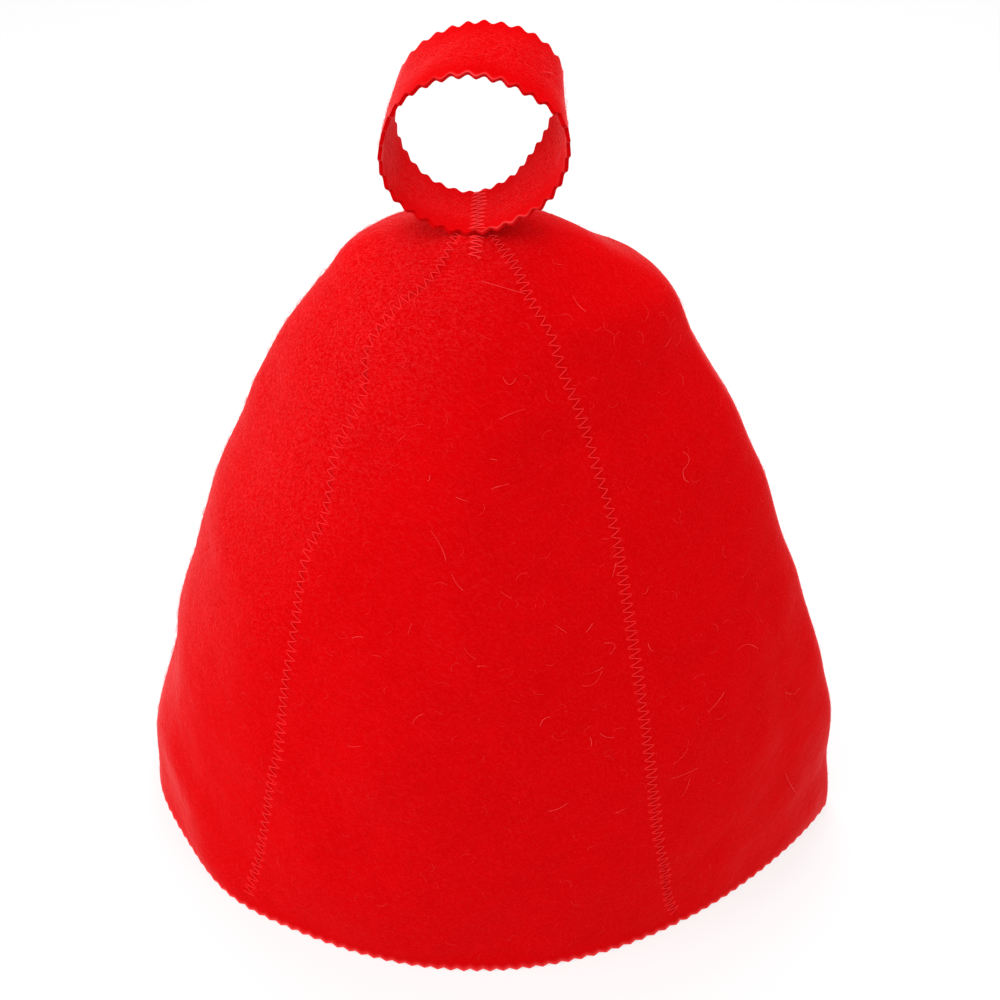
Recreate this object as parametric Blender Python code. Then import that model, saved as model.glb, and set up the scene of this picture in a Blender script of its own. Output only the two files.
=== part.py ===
"""A felt sauna hat: four gores sewn edge to edge, a pinked rim and a hanging loop.

The hat stands on its rim. Metres, +Z up, front gore towards -Y. The origin lies on the
floor under the middle of the rim.
"""
import math

import bpy
import numpy as np

# Sizes of the hat, outside of the felt
rim_width = 0.287
rim_depth = 0.190
crown_height = 0.2735
felt_thickness = 0.0024
seam_gap = 0.0003

# Pinked rim: teeth of one gore, their depth and the blunt end that stands on the floor
gore_teeth = 36
rim_tooth_depth = 0.0014
rim_tooth_end = 0.0008

# Hanging loop: a pinked strip bent into a ring, ends butted at the bottom. The first tip
# lies so much of a tooth past the strip's end.
loop_width = 0.057
loop_height = 0.057
loop_strip_width = 0.0255
loop_thickness = 0.0012
loop_teeth = 34
loop_tooth_depth = 0.0020
loop_first_tip = 0.68
loop_end_gap = 0.0003
loop_rest_gap = 0.0003

# How finely the felt is divided: columns of a gore and rows from rim to tip, which lie
# closer together towards the tip, where the crown bends most
gore_columns = 18
gore_rows = 20
row_crowding = 1.4

# The inner face of the felt: how far apart the bend of the felt is measured along a
# section and along the rise, and the sharpest turn that the inner face still follows
bend_reach = 0.0025
bend_reach_share = 0.025
rise_share = 0.004
sharpest_turn_ratio = 0.9

# How finely lengths round a section and round the loop are measured, and how often the
# search for the station at a height halves its range
section_measure_steps = 720
loop_measure_steps = 360
height_halvings = 40

# Finish of the felt
felt_red = (0.72, 0.006, 0.008)
felt_roughness = 0.95
smooth_up_to = math.radians(40)

# Cross-sections from rim to tip. up: height as a share of crown_height. middle, left and
# right: place of the middle line and reach of the two sides, as shares of half rim_width.
# depth: share of half rim_depth. left_full, right_full: 2 is a round side, 1 a sharp fold.
section_columns = ("up", "middle", "left", "right", "depth", "left_full", "right_full")
sections = (
    (0.000, -0.024, 0.972, 1.020, 0.987, 1.80, 1.15),
    (0.100, -0.012, 0.963, 0.985, 0.937, 1.71, 1.20),
    (0.215, -0.003, 0.905, 0.955, 0.874, 1.67, 1.26),
    (0.355, 0.006, 0.829, 0.882, 0.811, 1.62, 1.33),
    (0.495, 0.006, 0.740, 0.786, 0.732, 1.57, 1.40),
    (0.635, 0.003, 0.639, 0.698, 0.632, 1.52, 1.47),
    (0.750, 0.004, 0.538, 0.603, 0.537, 1.48, 1.53),
    (0.848, 0.011, 0.437, 0.496, 0.458, 1.45, 1.58),
    (0.914, 0.016, 0.349, 0.427, 0.384, 1.45, 1.60),
    (0.950, 0.020, 0.302, 0.305, 0.307, 1.55, 1.65),
    (0.976, 0.022, 0.191, 0.223, 0.218, 1.75, 1.75),
    (0.993, 0.020, 0.087, 0.108, 0.142, 1.95, 1.95),
    (1.000, 0.018, 0.012, 0.012, 0.018, 2.00, 2.00),
)

# Seams from rim to tip. left, right: how far round from the middle of the front the two
# front seams lie, as shares of the way to the side. back: the same for the back seams.
seam_columns = ("up", "left", "right", "back")
seams = (
    (0.000, 0.480, 0.515, 0.500),
    (0.070, 0.463, 0.475, 0.490),
    (0.130, 0.450, 0.463, 0.480),
    (0.220, 0.452, 0.442, 0.470),
    (0.330, 0.450, 0.433, 0.465),
    (0.500, 0.452, 0.438, 0.460),
    (0.620, 0.460, 0.441, 0.455),
    (0.665, 0.436, 0.442, 0.450),
    (0.710, 0.432, 0.438, 0.445),
    (0.750, 0.446, 0.430, 0.440),
    (0.800, 0.424, 0.424, 0.430),
    (0.840, 0.398, 0.408, 0.420),
    (0.890, 0.440, 0.370, 0.410),
    (0.940, 0.370, 0.352, 0.390),
    (0.965, 0.270, 0.335, 0.370),
    (1.000, 0.250, 0.330, 0.350),
)

# Dents and folds of the felt. around: place in quarter turns from the middle of the front,
# right is plus. up: height as a share of crown_height. wide, tall: reach as shares of
# rim_width and crown_height. lean: how far round the fold runs over its own height.
# out: share of rim_width, minus is a dent. All of them fade out over the last tip_fade_share.
tip_fade_share = 0.17
fold_columns = ("around", "up", "wide", "tall", "lean", "out")
folds = (
    (-0.14, 0.16, 0.050, 0.16, 0.02, 0.0070),
    (0.22, 0.58, 0.090, 0.20, 0.10, -0.0100),
    (0.50, 0.42, 0.055, 0.30, 0.02, 0.0060),
    (-0.62, 0.66, 0.080, 0.13, -0.10, -0.0085),
    (-0.20, 0.80, 0.060, 0.09, 0.00, -0.0060),
    (0.62, 0.83, 0.055, 0.08, 0.25, -0.0080),
    (-0.62, 0.45, 0.060, 0.20, 0.00, 0.0040),
    (0.64, 0.28, 0.050, 0.18, 0.05, -0.0060),
    (1.60, 0.45, 0.090, 0.26, 0.05, -0.0110),
    (-1.55, 0.38, 0.080, 0.22, -0.05, -0.0090),
    (2.00, 0.24, 0.090, 0.22, 0.04, 0.0080),
    (-0.44, 0.00, 0.030, 0.10, 0.00, 0.0075),
    (-0.66, 0.03, 0.035, 0.10, 0.00, -0.0060),
    (0.03, 0.45, 0.035, 0.42, 0.06, 0.0035),
    (0.30, 0.795, 0.026, 0.030, 0.00, -0.0055),
    (0.28, 0.900, 0.024, 0.022, 0.00, -0.0070),
    (0.48, 0.925, 0.030, 0.022, 0.10, 0.0070),
    (-0.34, 0.855, 0.024, 0.024, 0.00, -0.0050),
    (-0.385, 0.685, 0.026, 0.028, 0.00, -0.0035),
    (-0.42, 0.970, 0.024, 0.012, 0.00, -0.0180),
    (-0.19, 0.962, 0.024, 0.012, 0.00, -0.0180),
)

# Edges of the loop, from its bottom round by the right side, in even steps. front and
# back are the two edges of the strip, across and up are shares of loop_width and
# loop_height.
loop_columns = ("front_across", "front_up", "back_across", "back_up")
loop_edges = (
    (0.048, 0.000, 0.009, 0.000),
    (0.284, 0.080, 0.228, 0.110),
    (0.472, 0.240, 0.358, 0.306),
    (0.570, 0.482, 0.455, 0.525),
    (0.514, 0.706, 0.478, 0.768),
    (0.304, 0.850, 0.308, 0.948),
    (0.070, 0.900, 0.060, 1.001),
    (-0.166, 0.844, -0.172, 0.918),
    (-0.344, 0.696, -0.339, 0.736),
    (-0.428, 0.455, -0.424, 0.500),
    (-0.376, 0.216, -0.386, 0.256),
    (-0.191, 0.058, -0.224, 0.060),
)


def column(table, names, name):
    """One column of a table as an array."""
    return np.array([row[names.index(name)] for row in table])


def smooth_read(places, values, wanted):
    """Read a table between its rows with a smooth curve that never overshoots them."""
    steps = np.diff(places)
    rises = np.diff(values) / steps
    slopes = np.zeros(len(places))
    for i in range(1, len(places) - 1):
        if rises[i - 1] * rises[i] > 0:
            before = 2 * steps[i] + steps[i - 1]
            after = steps[i] + 2 * steps[i - 1]
            slopes[i] = (before + after) / (before / rises[i - 1] + after / rises[i])
    slopes[0] = rises[0]
    slopes[-1] = rises[-1]
    wanted = np.clip(wanted, places[0], places[-1])
    i = np.clip(np.searchsorted(places, wanted, side="right") - 1, 0, len(steps) - 1)
    t = (wanted - places[i]) / steps[i]
    return (
        (1 + 2 * t) * (1 - t) ** 2 * values[i]
        + t * (1 - t) ** 2 * steps[i] * slopes[i]
        + t * t * (3 - 2 * t) * values[i + 1]
        + t * t * (t - 1) * steps[i] * slopes[i + 1]
    )


def section_stations():
    """How far along the felt each section lies from the rim, from 0 to 1."""
    heights = column(sections, section_columns, "up") * crown_height
    depths = column(sections, section_columns, "depth") * rim_depth / 2
    lengths = np.hypot(np.diff(heights), np.diff(depths))
    return np.concatenate([[0.0], np.cumsum(lengths)]) / lengths.sum()


stations = section_stations()
section_table = {n: column(sections, section_columns, n) for n in section_columns}
seam_table = {n: column(seams, seam_columns, n) for n in seam_columns}


def section_value(name, station):
    """A value of the section table at a station between rim and tip."""
    return float(smooth_read(stations, section_table[name], np.array([station]))[0])


def station_at_height(height):
    """The station whose section lies at a height above the floor."""
    low = 0.0
    high = 1.0
    for _ in range(height_halvings):
        middle = (low + high) / 2
        if section_value("up", middle) * crown_height < height:
            low = middle
        else:
            high = middle
    return (low + high) / 2


def fold_push(around, up):
    """How far the folds and dents push the felt out at a place."""
    push = np.zeros_like(around)
    for place, height, wide, tall, lean, out in folds:
        rise = (up - height) / tall
        away = (around - place - lean * rise + 2) % 4 - 2
        reach = wide * 4
        push = push + out * rim_width * np.exp(-(away / reach) ** 2 - rise ** 2)
    return push * min(1.0, (1.0 - up) / tip_fade_share)


def section_points(station, angles):
    """Points round a section. An angle of 0 is the middle of the front, right is plus."""
    up = section_value("up", station)
    sine = np.sin(angles)
    cosine = np.cos(angles)
    right = sine >= 0
    reach = np.where(right, section_value("right", station), section_value("left", station))
    full = np.where(
        right, section_value("right_full", station), section_value("left_full", station)
    )
    x = (section_value("middle", station) + reach * sine) * rim_width / 2
    bulge = np.sign(cosine) * np.abs(cosine) ** (2 / full)
    y = -section_value("depth", station) * rim_depth / 2 * bulge
    flat = np.stack([x, y, np.full_like(x, up * crown_height)], axis=-1)
    around = (angles / (math.pi / 2) + 2) % 4 - 2
    push = fold_push(around, up)
    spread = np.stack([sine / rim_width, -cosine / rim_depth, np.zeros_like(x)], axis=-1)
    spread = spread / np.linalg.norm(spread, axis=-1, keepdims=True)
    return flat + spread * push[..., None]


fine_angles = np.linspace(-math.pi, math.pi, section_measure_steps + 1)


class Ring:
    """One section, measured by the length of felt round it from the middle of the front."""

    def __init__(self, station):
        self.station = station
        points = section_points(station, fine_angles)
        steps = np.linalg.norm(np.diff(points, axis=0), axis=1)
        walked = np.concatenate([[0.0], np.cumsum(steps)])
        self.walked = walked - walked[len(walked) // 2]
        quarter = len(fine_angles) // 4
        self.left = -self.walked[quarter]
        self.right = self.walked[3 * quarter]
        self.total = self.walked[-1] - self.walked[0]
        up = section_value("up", station)
        shares = {n: float(smooth_read(seam_table["up"], seam_table[n], np.array([up]))[0])
                  for n in ("left", "right", "back")}
        half_right = self.walked[-1]
        half_left = -self.walked[0]
        front_right = shares["right"] * self.right
        back_right = half_right - shares["back"] * (half_right - self.right)
        back_left = -half_left + shares["back"] * (half_left - self.left)
        front_left = -shares["left"] * self.left
        self.seams = {
            "front": (front_left, front_right),
            "right": (front_right, back_right),
            "back": (back_right, back_left + self.total),
            "left": (back_left, front_left),
        }

    def at(self, length):
        """The points at lengths round the section."""
        low = self.walked[0]
        length = (np.asarray(length) - low) % self.total + low
        angle = np.interp(length, self.walked, fine_angles)
        return section_points(self.station, angle)

    def places(self, gore, shares):
        """Lengths of shares across one gore, with half the seam gap left at each side."""
        start, end = self.seams[gore]
        start = start + seam_gap / 2
        end = end - seam_gap / 2
        middle = {"right": self.right, "left": -self.left}.get(gore, (start + end) / 2)
        shares = np.asarray(shares)
        return np.where(
            shares < 0.5,
            start + (middle - start) * shares * 2,
            middle + (end - middle) * (shares * 2 - 1),
        )


def unit(vectors):
    return vectors / np.linalg.norm(vectors, axis=-1, keepdims=True)


def felt_skins(gore, station, shares):
    """Outer and inner points of a gore at one station."""
    ring = Ring(station)
    above = Ring(min(1.0, station + rise_share))
    below = Ring(max(0.0, station - rise_share))
    lengths = ring.places(gore, shares)
    outer = ring.at(lengths)
    rise = above.at(above.places(gore, shares)) - below.at(below.places(gore, shares))
    reach = min(bend_reach, ring.total * bend_reach_share)
    after = unit(np.cross(ring.at(lengths + reach) - outer, rise))
    before = unit(np.cross(outer - ring.at(lengths - reach), rise))
    turn = np.maximum(1 + np.sum(after * before, axis=-1, keepdims=True), sharpest_turn_ratio)
    inner = outer - felt_thickness * (after + before) / turn
    return outer, inner


def add_object(name, points, faces):
    """A mesh object with its own felt material, shaded smooth."""
    mesh = bpy.data.meshes.new(name)
    mesh.from_pydata([tuple(p) for p in points], [], faces)
    mesh.validate()
    mesh.update()
    thing = bpy.data.objects.new(name, mesh)
    bpy.context.scene.collection.objects.link(thing)
    felt = bpy.data.materials.new(name + "_felt")
    felt.use_nodes = True
    shader = felt.node_tree.nodes["Principled BSDF"]
    shader.inputs["Base Color"].default_value = (*felt_red, 1.0)
    shader.inputs["Roughness"].default_value = felt_roughness
    shader.inputs["Metallic"].default_value = 0.0
    mesh.materials.append(felt)
    mesh.shade_smooth()
    mesh.set_sharp_from_angle(angle=smooth_up_to)
    return thing


def make_gore(gore):
    """One felt gore: a wall from the pinked rim to a narrow tip at the crown."""
    low = station_at_height(rim_tooth_depth)
    tall = np.linspace(0.0, 1.0, gore_rows + 1)
    rows = low + (1.0 - low) * (1.0 - (1.0 - tall) ** row_crowding)
    shares = np.linspace(0.0, 1.0, gore_columns + 1)
    points = []
    outer_rows = []
    inner_rows = []

    def keep(new):
        start = len(points)
        points.extend(new)
        return list(range(start, start + len(new)))

    # Valleys between the teeth, then the rows above them
    valleys = np.linspace(0.0, 1.0, gore_teeth + 1)
    outer, inner = felt_skins(gore, low, valleys)
    outer_valley = keep(outer)
    inner_valley = keep(inner)
    for station in rows[1:]:
        outer, inner = felt_skins(gore, station, shares)
        outer_rows.append(keep(outer))
        inner_rows.append(keep(inner))

    # Blunt ends of the teeth on the floor
    ring = Ring(0.0)
    start, end = ring.seams[gore]
    tooth_width = (end - start) / gore_teeth
    blunt = rim_tooth_end / tooth_width / gore_teeth
    middles = (np.arange(gore_teeth) + 0.5) / gore_teeth
    tips = []
    for side in (-0.5, 0.5):
        lengths = ring.places(gore, middles + side * blunt)
        outer = ring.at(lengths)
        along = unit(ring.at(lengths + bend_reach) - ring.at(lengths - bend_reach))
        out = np.stack([along[:, 1], -along[:, 0], np.zeros(len(along))], axis=-1)
        outer[:, 2] = 0.0
        inner = outer - unit(out) * felt_thickness
        tips.append((keep(outer), keep(inner)))

    faces = []
    # Teeth
    for k in range(gore_teeth):
        a, b = outer_valley[k], outer_valley[k + 1]
        c, d = inner_valley[k], inner_valley[k + 1]
        left_out, left_in = tips[0][0][k], tips[0][1][k]
        right_out, right_in = tips[1][0][k], tips[1][1][k]
        faces.append((a, left_out, right_out, b))
        faces.append((d, right_in, left_in, c))
        faces.append((a, c, left_in, left_out))
        faces.append((left_out, left_in, right_in, right_out))
        faces.append((right_out, right_in, d, b))

    # Strip from the valleys to the first row: each column takes in two or more teeth
    teeth_each = gore_teeth // gore_columns
    for c in range(gore_columns):
        first = c * teeth_each
        half = first + teeth_each // 2
        for valley, row, flip in (
            (outer_valley, outer_rows[0], False),
            (inner_valley, inner_rows[0], True),
        ):
            fan = [(valley[k], valley[k + 1], row[c]) for k in range(first, half)]
            fan.append((valley[half], row[c + 1], row[c]))
            fan += [
                (valley[k], valley[k + 1], row[c + 1])
                for k in range(half, first + teeth_each)
            ]
            faces.extend([f[::-1] if flip else f for f in fan])

    # Walls between the rows
    for lower, upper, flip in (
        (outer_rows[:-1], outer_rows[1:], False),
        (inner_rows[:-1], inner_rows[1:], True),
    ):
        for low_row, high_row in zip(lower, upper):
            for c in range(gore_columns):
                quad = (low_row[c], low_row[c + 1], high_row[c + 1], high_row[c])
                faces.append(quad[::-1] if flip else quad)

    # Cut edges along the two seams and over the tip
    outer_side = [outer_valley] + outer_rows
    inner_side = [inner_valley] + inner_rows
    for j in range(len(outer_side) - 1):
        faces.append((outer_side[j][0], outer_side[j + 1][0],
                      inner_side[j + 1][0], inner_side[j][0]))
        faces.append((outer_side[j][-1], inner_side[j][-1],
                      inner_side[j + 1][-1], outer_side[j + 1][-1]))
    for c in range(gore_columns):
        faces.append((outer_rows[-1][c], outer_rows[-1][c + 1],
                      inner_rows[-1][c + 1], inner_rows[-1][c]))
    return add_object("panel_" + gore, points, faces)


def loop_edge(across, up, wanted):
    """Smooth closed curve through one edge of the loop table."""
    count = len(loop_edges)
    place = (np.asarray(wanted) % 1.0) * count
    i = np.floor(place).astype(int) % count
    t = place - np.floor(place)
    result = []
    for name, size in ((across, loop_width), (up, loop_height)):
        values = column(loop_edges, loop_columns, name) * size
        p0 = values[(i - 1) % count]
        p1 = values[i]
        p2 = values[(i + 1) % count]
        p3 = values[(i + 2) % count]
        bend = 2 * p0 - 5 * p1 + 4 * p2 - p3 + t * (3 * (p1 - p2) + p3 - p0)
        result.append(p1 + 0.5 * t * (p2 - p0 + t * bend))
    return result


def loop_point(turn, strip):
    """A point of the loop's outer face. strip: 0 at the front edge, 1 at the back."""
    front_x, front_z = loop_edge("front_across", "front_up", turn)
    back_x, back_z = loop_edge("back_across", "back_up", turn)
    x = front_x + (back_x - front_x) * strip
    y = np.full_like(x, (strip - 0.5) * loop_strip_width)
    z = front_z + (back_z - front_z) * strip + crown_height + loop_rest_gap
    return np.stack([x, y, z], axis=-1)


def loop_cuts():
    """Turns at the strip's ends and at each tip and valley, and how deep each is cut."""
    turns = np.linspace(0.0, 1.0, loop_measure_steps + 1)
    middle = loop_point(turns, 0.5)
    steps = np.linalg.norm(np.diff(middle, axis=0), axis=1)
    walked = np.concatenate([[0.0], np.cumsum(steps)])
    marks = loop_first_tip + np.arange(-2, 2 * loop_teeth + 1) / 2
    marks = np.unique(np.clip(marks, 0.0, loop_teeth))
    past_tip = np.abs((marks - loop_first_tip + 0.5) % 1.0 - 0.5)
    lengths = loop_end_gap / 2 + marks / loop_teeth * (walked[-1] - loop_end_gap)
    return np.interp(lengths, walked, turns), past_tip * 2 * loop_tooth_depth


def loop_skins(turn, strip):
    """Outer and inner points of the loop at turns round it and a share across it."""
    outer = loop_point(turn, strip)
    along = loop_point(turn + rise_share, strip) - loop_point(turn - rise_share, strip)
    over = loop_point(turn, strip + rise_share) - loop_point(turn, strip - rise_share)
    outwards = unit(np.cross(over, along))
    return outer, outer - outwards * loop_thickness


def make_loop():
    """The hanging loop, with pinked edges to the front and the back."""
    turns, cuts = loop_cuts()
    cuts = cuts / loop_strip_width
    outer_front, inner_front = loop_skins(turns, cuts)
    outer_back, inner_back = loop_skins(turns, 1.0 - cuts)
    corners = (outer_front, outer_back, inner_back, inner_front)
    points = np.concatenate(corners)
    count = len(turns)
    faces = []
    for side in range(len(corners)):
        here = side * count
        beside = (side + 1) % len(corners) * count
        for k in range(count - 1):
            faces.append((here + k, beside + k, beside + k + 1, here + k + 1))
    starts = [side * count for side in range(len(corners))]
    faces.append(tuple(reversed(starts)))
    faces.append(tuple(start + count - 1 for start in starts))
    return add_object("hanging_loop", points, faces)


for old in list(bpy.data.objects):
    bpy.data.objects.remove(old, do_unlink=True)

for gore_name in ("front", "right", "back", "left"):
    make_gore(gore_name)
make_loop()
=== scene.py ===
# %% [markdown]
# A felt sauna hat, dressed for its picture
# The hat is cut from red wool felt: four gores sewn edge to edge with a zigzag thread, a
# rim cut with pinking shears, and a hanging loop of the same felt on the crown.
# Its rigid model is packed already. This lesson loads it as a frame, and lays fine felt,
# thread and stray wool over it.

import math

import bpy
import numpy as np
from mathutils import Matrix, Vector
from mathutils.bvhtree import BVHTree


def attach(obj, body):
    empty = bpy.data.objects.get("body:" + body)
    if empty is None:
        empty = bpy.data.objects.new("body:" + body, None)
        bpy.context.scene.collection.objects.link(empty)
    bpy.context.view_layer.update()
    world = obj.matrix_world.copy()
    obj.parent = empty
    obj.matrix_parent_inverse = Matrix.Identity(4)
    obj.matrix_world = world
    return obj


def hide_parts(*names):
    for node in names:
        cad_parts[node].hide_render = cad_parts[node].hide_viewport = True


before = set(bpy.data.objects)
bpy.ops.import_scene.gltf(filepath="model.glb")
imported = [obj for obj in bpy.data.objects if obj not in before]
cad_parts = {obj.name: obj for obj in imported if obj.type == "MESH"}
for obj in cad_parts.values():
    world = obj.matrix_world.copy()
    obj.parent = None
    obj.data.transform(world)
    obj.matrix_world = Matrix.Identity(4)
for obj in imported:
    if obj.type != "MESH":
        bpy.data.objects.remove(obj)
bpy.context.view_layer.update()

# %% [markdown]
# A few helpers serve the whole lesson. They read a table by the names of its columns,
# measure along a row of points, and put objects, a camera and lamps in their places.


# %% Helpers
def named_rows(names, rows):
    """A table's rows, each with its values under the columns' names."""
    return [dict(zip(names, row)) for row in rows]


def by_column(names, rows):
    """A table's columns as arrays, under their names."""
    return dict(zip(names, np.array(rows).T))


def unit(vectors):
    return vectors / np.linalg.norm(vectors, axis=-1, keepdims=True)


def walk(points):
    """The length walked up to each point of a row."""
    return np.concatenate([[0.0], np.cumsum(np.linalg.norm(np.diff(points, axis=0), axis=1))])


def add_object(name, data):
    """An object in the scene, at the origin."""
    made = bpy.data.objects.new(name, data)
    bpy.context.scene.collection.objects.link(made)
    return made


def stand(thing, side, upright, back, place):
    """Place a camera or a lamp, which looks away from its back."""
    axes = np.array([side, upright, back]).T
    rows = [[*row, p] for row, p in zip(axes, place)]
    thing.matrix_world = Matrix(rows + [[0.0, 0.0, 0.0, 1.0]])


print("helpers ready")

# %% [markdown]
# The camera comes first, because everything is judged through it. It looks down at the
# hat from about 60 cm, a little from the right, with a very slight roll. Its focal length,
# in pixels of a 1000 pixel picture, is turned into a lens here.

# %% Camera
picture_width = 1000
camera_place = (0.0595, -0.3992, 0.5146)
camera_turn = math.radians(7.39)
camera_drop = math.radians(41.6)
camera_roll = math.radians(-1.345)
focal_pixels = 1506
sensor_width = 36.0
focal_length = focal_pixels / picture_width * sensor_width
nearest_seen = 0.02


def add_camera():
    lens = bpy.data.cameras.new("camera")
    lens.sensor_width = sensor_width
    lens.lens = focal_length
    lens.clip_start = nearest_seen
    (sin_turn, cos_turn), (sin_drop, cos_drop), (sin_roll, cos_roll) = (
        (math.sin(angle), math.cos(angle)) for angle in (camera_turn, camera_drop, camera_roll)
    )
    back = np.array([sin_turn * cos_drop, -cos_turn * cos_drop, sin_drop])
    level = np.array([cos_turn, sin_turn, 0.0])
    upright = np.cross(back, level)
    right = cos_roll * level + sin_roll * upright
    up = cos_roll * upright - sin_roll * level
    camera = add_object("camera", lens)
    stand(camera, right, up, back, camera_place)
    bpy.context.scene.camera = camera


add_camera()
print("lens", round(focal_length, 1), "mm")

# %% [markdown]
# The felt's shape is a stack of cross-sections. Each is an oval whose two sides can be
# round or folded sharp, because the hat was packed flat and still remembers it. The
# tables say how wide, deep and sharp each section is, where the seams run round it, and
# where the felt dents or bulges. Lengths are shares of the hat's few sizes, so a change of
# one carries through. A fold's place round the hat is in quarter turns from the front.

# %% Sizes and tables of the felt
rim_width = 0.287
rim_depth = 0.190
crown_height = 0.2735
felt_thickness = 0.0024
butt_gap = 0.00003
gore_teeth = 36
rim_tooth_depth = 0.0014

section_columns = ("up", "middle", "left", "right", "depth", "left_full", "right_full")
sections = (
    (0.000, -0.024, 0.972, 1.020, 0.987, 1.80, 1.15),
    (0.100, -0.012, 0.963, 0.985, 0.937, 1.71, 1.20),
    (0.215, -0.003, 0.905, 0.955, 0.874, 1.67, 1.26),
    (0.355, 0.006, 0.829, 0.882, 0.811, 1.62, 1.33),
    (0.495, 0.006, 0.740, 0.786, 0.732, 1.57, 1.40),
    (0.635, 0.003, 0.639, 0.698, 0.632, 1.52, 1.47),
    (0.750, 0.004, 0.538, 0.603, 0.537, 1.48, 1.53),
    (0.848, 0.011, 0.437, 0.496, 0.458, 1.45, 1.58),
    (0.914, 0.016, 0.349, 0.427, 0.384, 1.45, 1.60),
    (0.950, 0.020, 0.302, 0.305, 0.307, 1.55, 1.65),
    (0.976, 0.022, 0.191, 0.223, 0.218, 1.75, 1.75),
    (0.993, 0.020, 0.087, 0.108, 0.142, 1.95, 1.95),
    (1.000, 0.018, 0.012, 0.012, 0.018, 2.00, 2.00),
)
seam_columns = ("up", "left", "right", "back")
seams = (
    (0.000, 0.480, 0.515, 0.500),
    (0.070, 0.463, 0.475, 0.490),
    (0.130, 0.450, 0.463, 0.480),
    (0.220, 0.452, 0.442, 0.470),
    (0.330, 0.450, 0.433, 0.465),
    (0.500, 0.452, 0.438, 0.460),
    (0.620, 0.460, 0.441, 0.455),
    (0.665, 0.436, 0.442, 0.450),
    (0.710, 0.432, 0.438, 0.445),
    (0.750, 0.446, 0.430, 0.440),
    (0.800, 0.424, 0.424, 0.430),
    (0.840, 0.398, 0.408, 0.420),
    (0.890, 0.440, 0.370, 0.410),
    (0.940, 0.370, 0.352, 0.390),
    (0.965, 0.270, 0.335, 0.370),
    (1.000, 0.250, 0.330, 0.350),
)
tip_fade_share = 0.17
fold_columns = ("around", "up", "wide", "tall", "lean", "out")
folds = (
    (-0.14, 0.16, 0.050, 0.16, 0.02, 0.0070),
    (0.22, 0.58, 0.090, 0.20, 0.10, -0.0100),
    (0.50, 0.42, 0.055, 0.30, 0.02, 0.0060),
    (-0.62, 0.66, 0.080, 0.13, -0.10, -0.0085),
    (-0.20, 0.80, 0.060, 0.09, 0.00, -0.0060),
    (0.62, 0.83, 0.055, 0.08, 0.25, -0.0080),
    (-0.62, 0.45, 0.060, 0.20, 0.00, 0.0040),
    (0.64, 0.28, 0.050, 0.18, 0.05, -0.0060),
    (1.60, 0.45, 0.090, 0.26, 0.05, -0.0110),
    (-1.55, 0.38, 0.080, 0.22, -0.05, -0.0090),
    (2.00, 0.24, 0.090, 0.22, 0.04, 0.0080),
    (-0.44, 0.00, 0.030, 0.10, 0.00, 0.0075),
    (-0.66, 0.03, 0.035, 0.10, 0.00, -0.0060),
    (0.03, 0.45, 0.035, 0.42, 0.06, 0.0035),
    (0.30, 0.795, 0.026, 0.030, 0.00, -0.0055),
    (0.28, 0.900, 0.024, 0.022, 0.00, -0.0070),
    (0.48, 0.925, 0.030, 0.022, 0.10, 0.0070),
    (-0.34, 0.855, 0.024, 0.024, 0.00, -0.0050),
    (-0.385, 0.685, 0.026, 0.028, 0.00, -0.0035),
    (-0.42, 0.970, 0.024, 0.012, 0.00, -0.0180),
    (-0.19, 0.962, 0.024, 0.012, 0.00, -0.0180),
)
print(len(sections), "sections,", len(seams), "seam rows,", len(folds), "folds")


# %% Read a table smoothly
def smooth_read(places, values, wanted):
    """Read a table with a smooth curve that never overshoots its rows."""
    steps = np.diff(places)
    rises = np.diff(values) / steps
    slopes = np.zeros(len(places))
    for i in range(1, len(places) - 1):
        if rises[i - 1] * rises[i] > 0:
            before = 2 * steps[i] + steps[i - 1]
            after = steps[i] + 2 * steps[i - 1]
            slopes[i] = (before + after) / (before / rises[i - 1] + after / rises[i])
    slopes[0], slopes[-1] = rises[0], rises[-1]
    wanted = np.clip(wanted, places[0], places[-1])
    i = np.clip(np.searchsorted(places, wanted, side="right") - 1, 0, len(steps) - 1)
    t = (wanted - places[i]) / steps[i]
    return (
        (1 + 2 * t) * (1 - t) ** 2 * values[i]
        + t * (1 - t) ** 2 * steps[i] * slopes[i]
        + t * t * (3 - 2 * t) * values[i + 1]
        + t * t * (t - 1) * steps[i] * slopes[i + 1]
    )


section_table = by_column(section_columns, sections)
seam_table = by_column(seam_columns, seams)
fold_rows = named_rows(fold_columns, folds)
section_depths = section_table["depth"] * rim_depth / 2
steps_up = np.hypot(np.diff(section_table["up"] * crown_height), np.diff(section_depths))
felt_length = float(steps_up.sum())
stations = np.concatenate([[0.0], np.cumsum(steps_up)]) / felt_length
print("felt from rim to tip", round(felt_length * 1000), "mm")


# %% Points round a section
def row_at(table, places, place):
    """A row of a table, read smoothly."""
    return {
        name: float(smooth_read(places, values, np.array([place]))[0])
        for name, values in table.items()
    }


def fold_push(around, up):
    """How far the folds and dents push the felt out at a place."""
    push = np.zeros_like(around)
    for fold in fold_rows:
        rise = (up - fold["up"]) / fold["tall"]
        away = (around - fold["around"] - fold["lean"] * rise + 2) % 4 - 2
        bump = np.exp(-(away / (fold["wide"] * 4)) ** 2 - rise**2)
        push = push + fold["out"] * rim_width * bump
    return push * min(1.0, (1.0 - up) / tip_fade_share)


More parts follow.
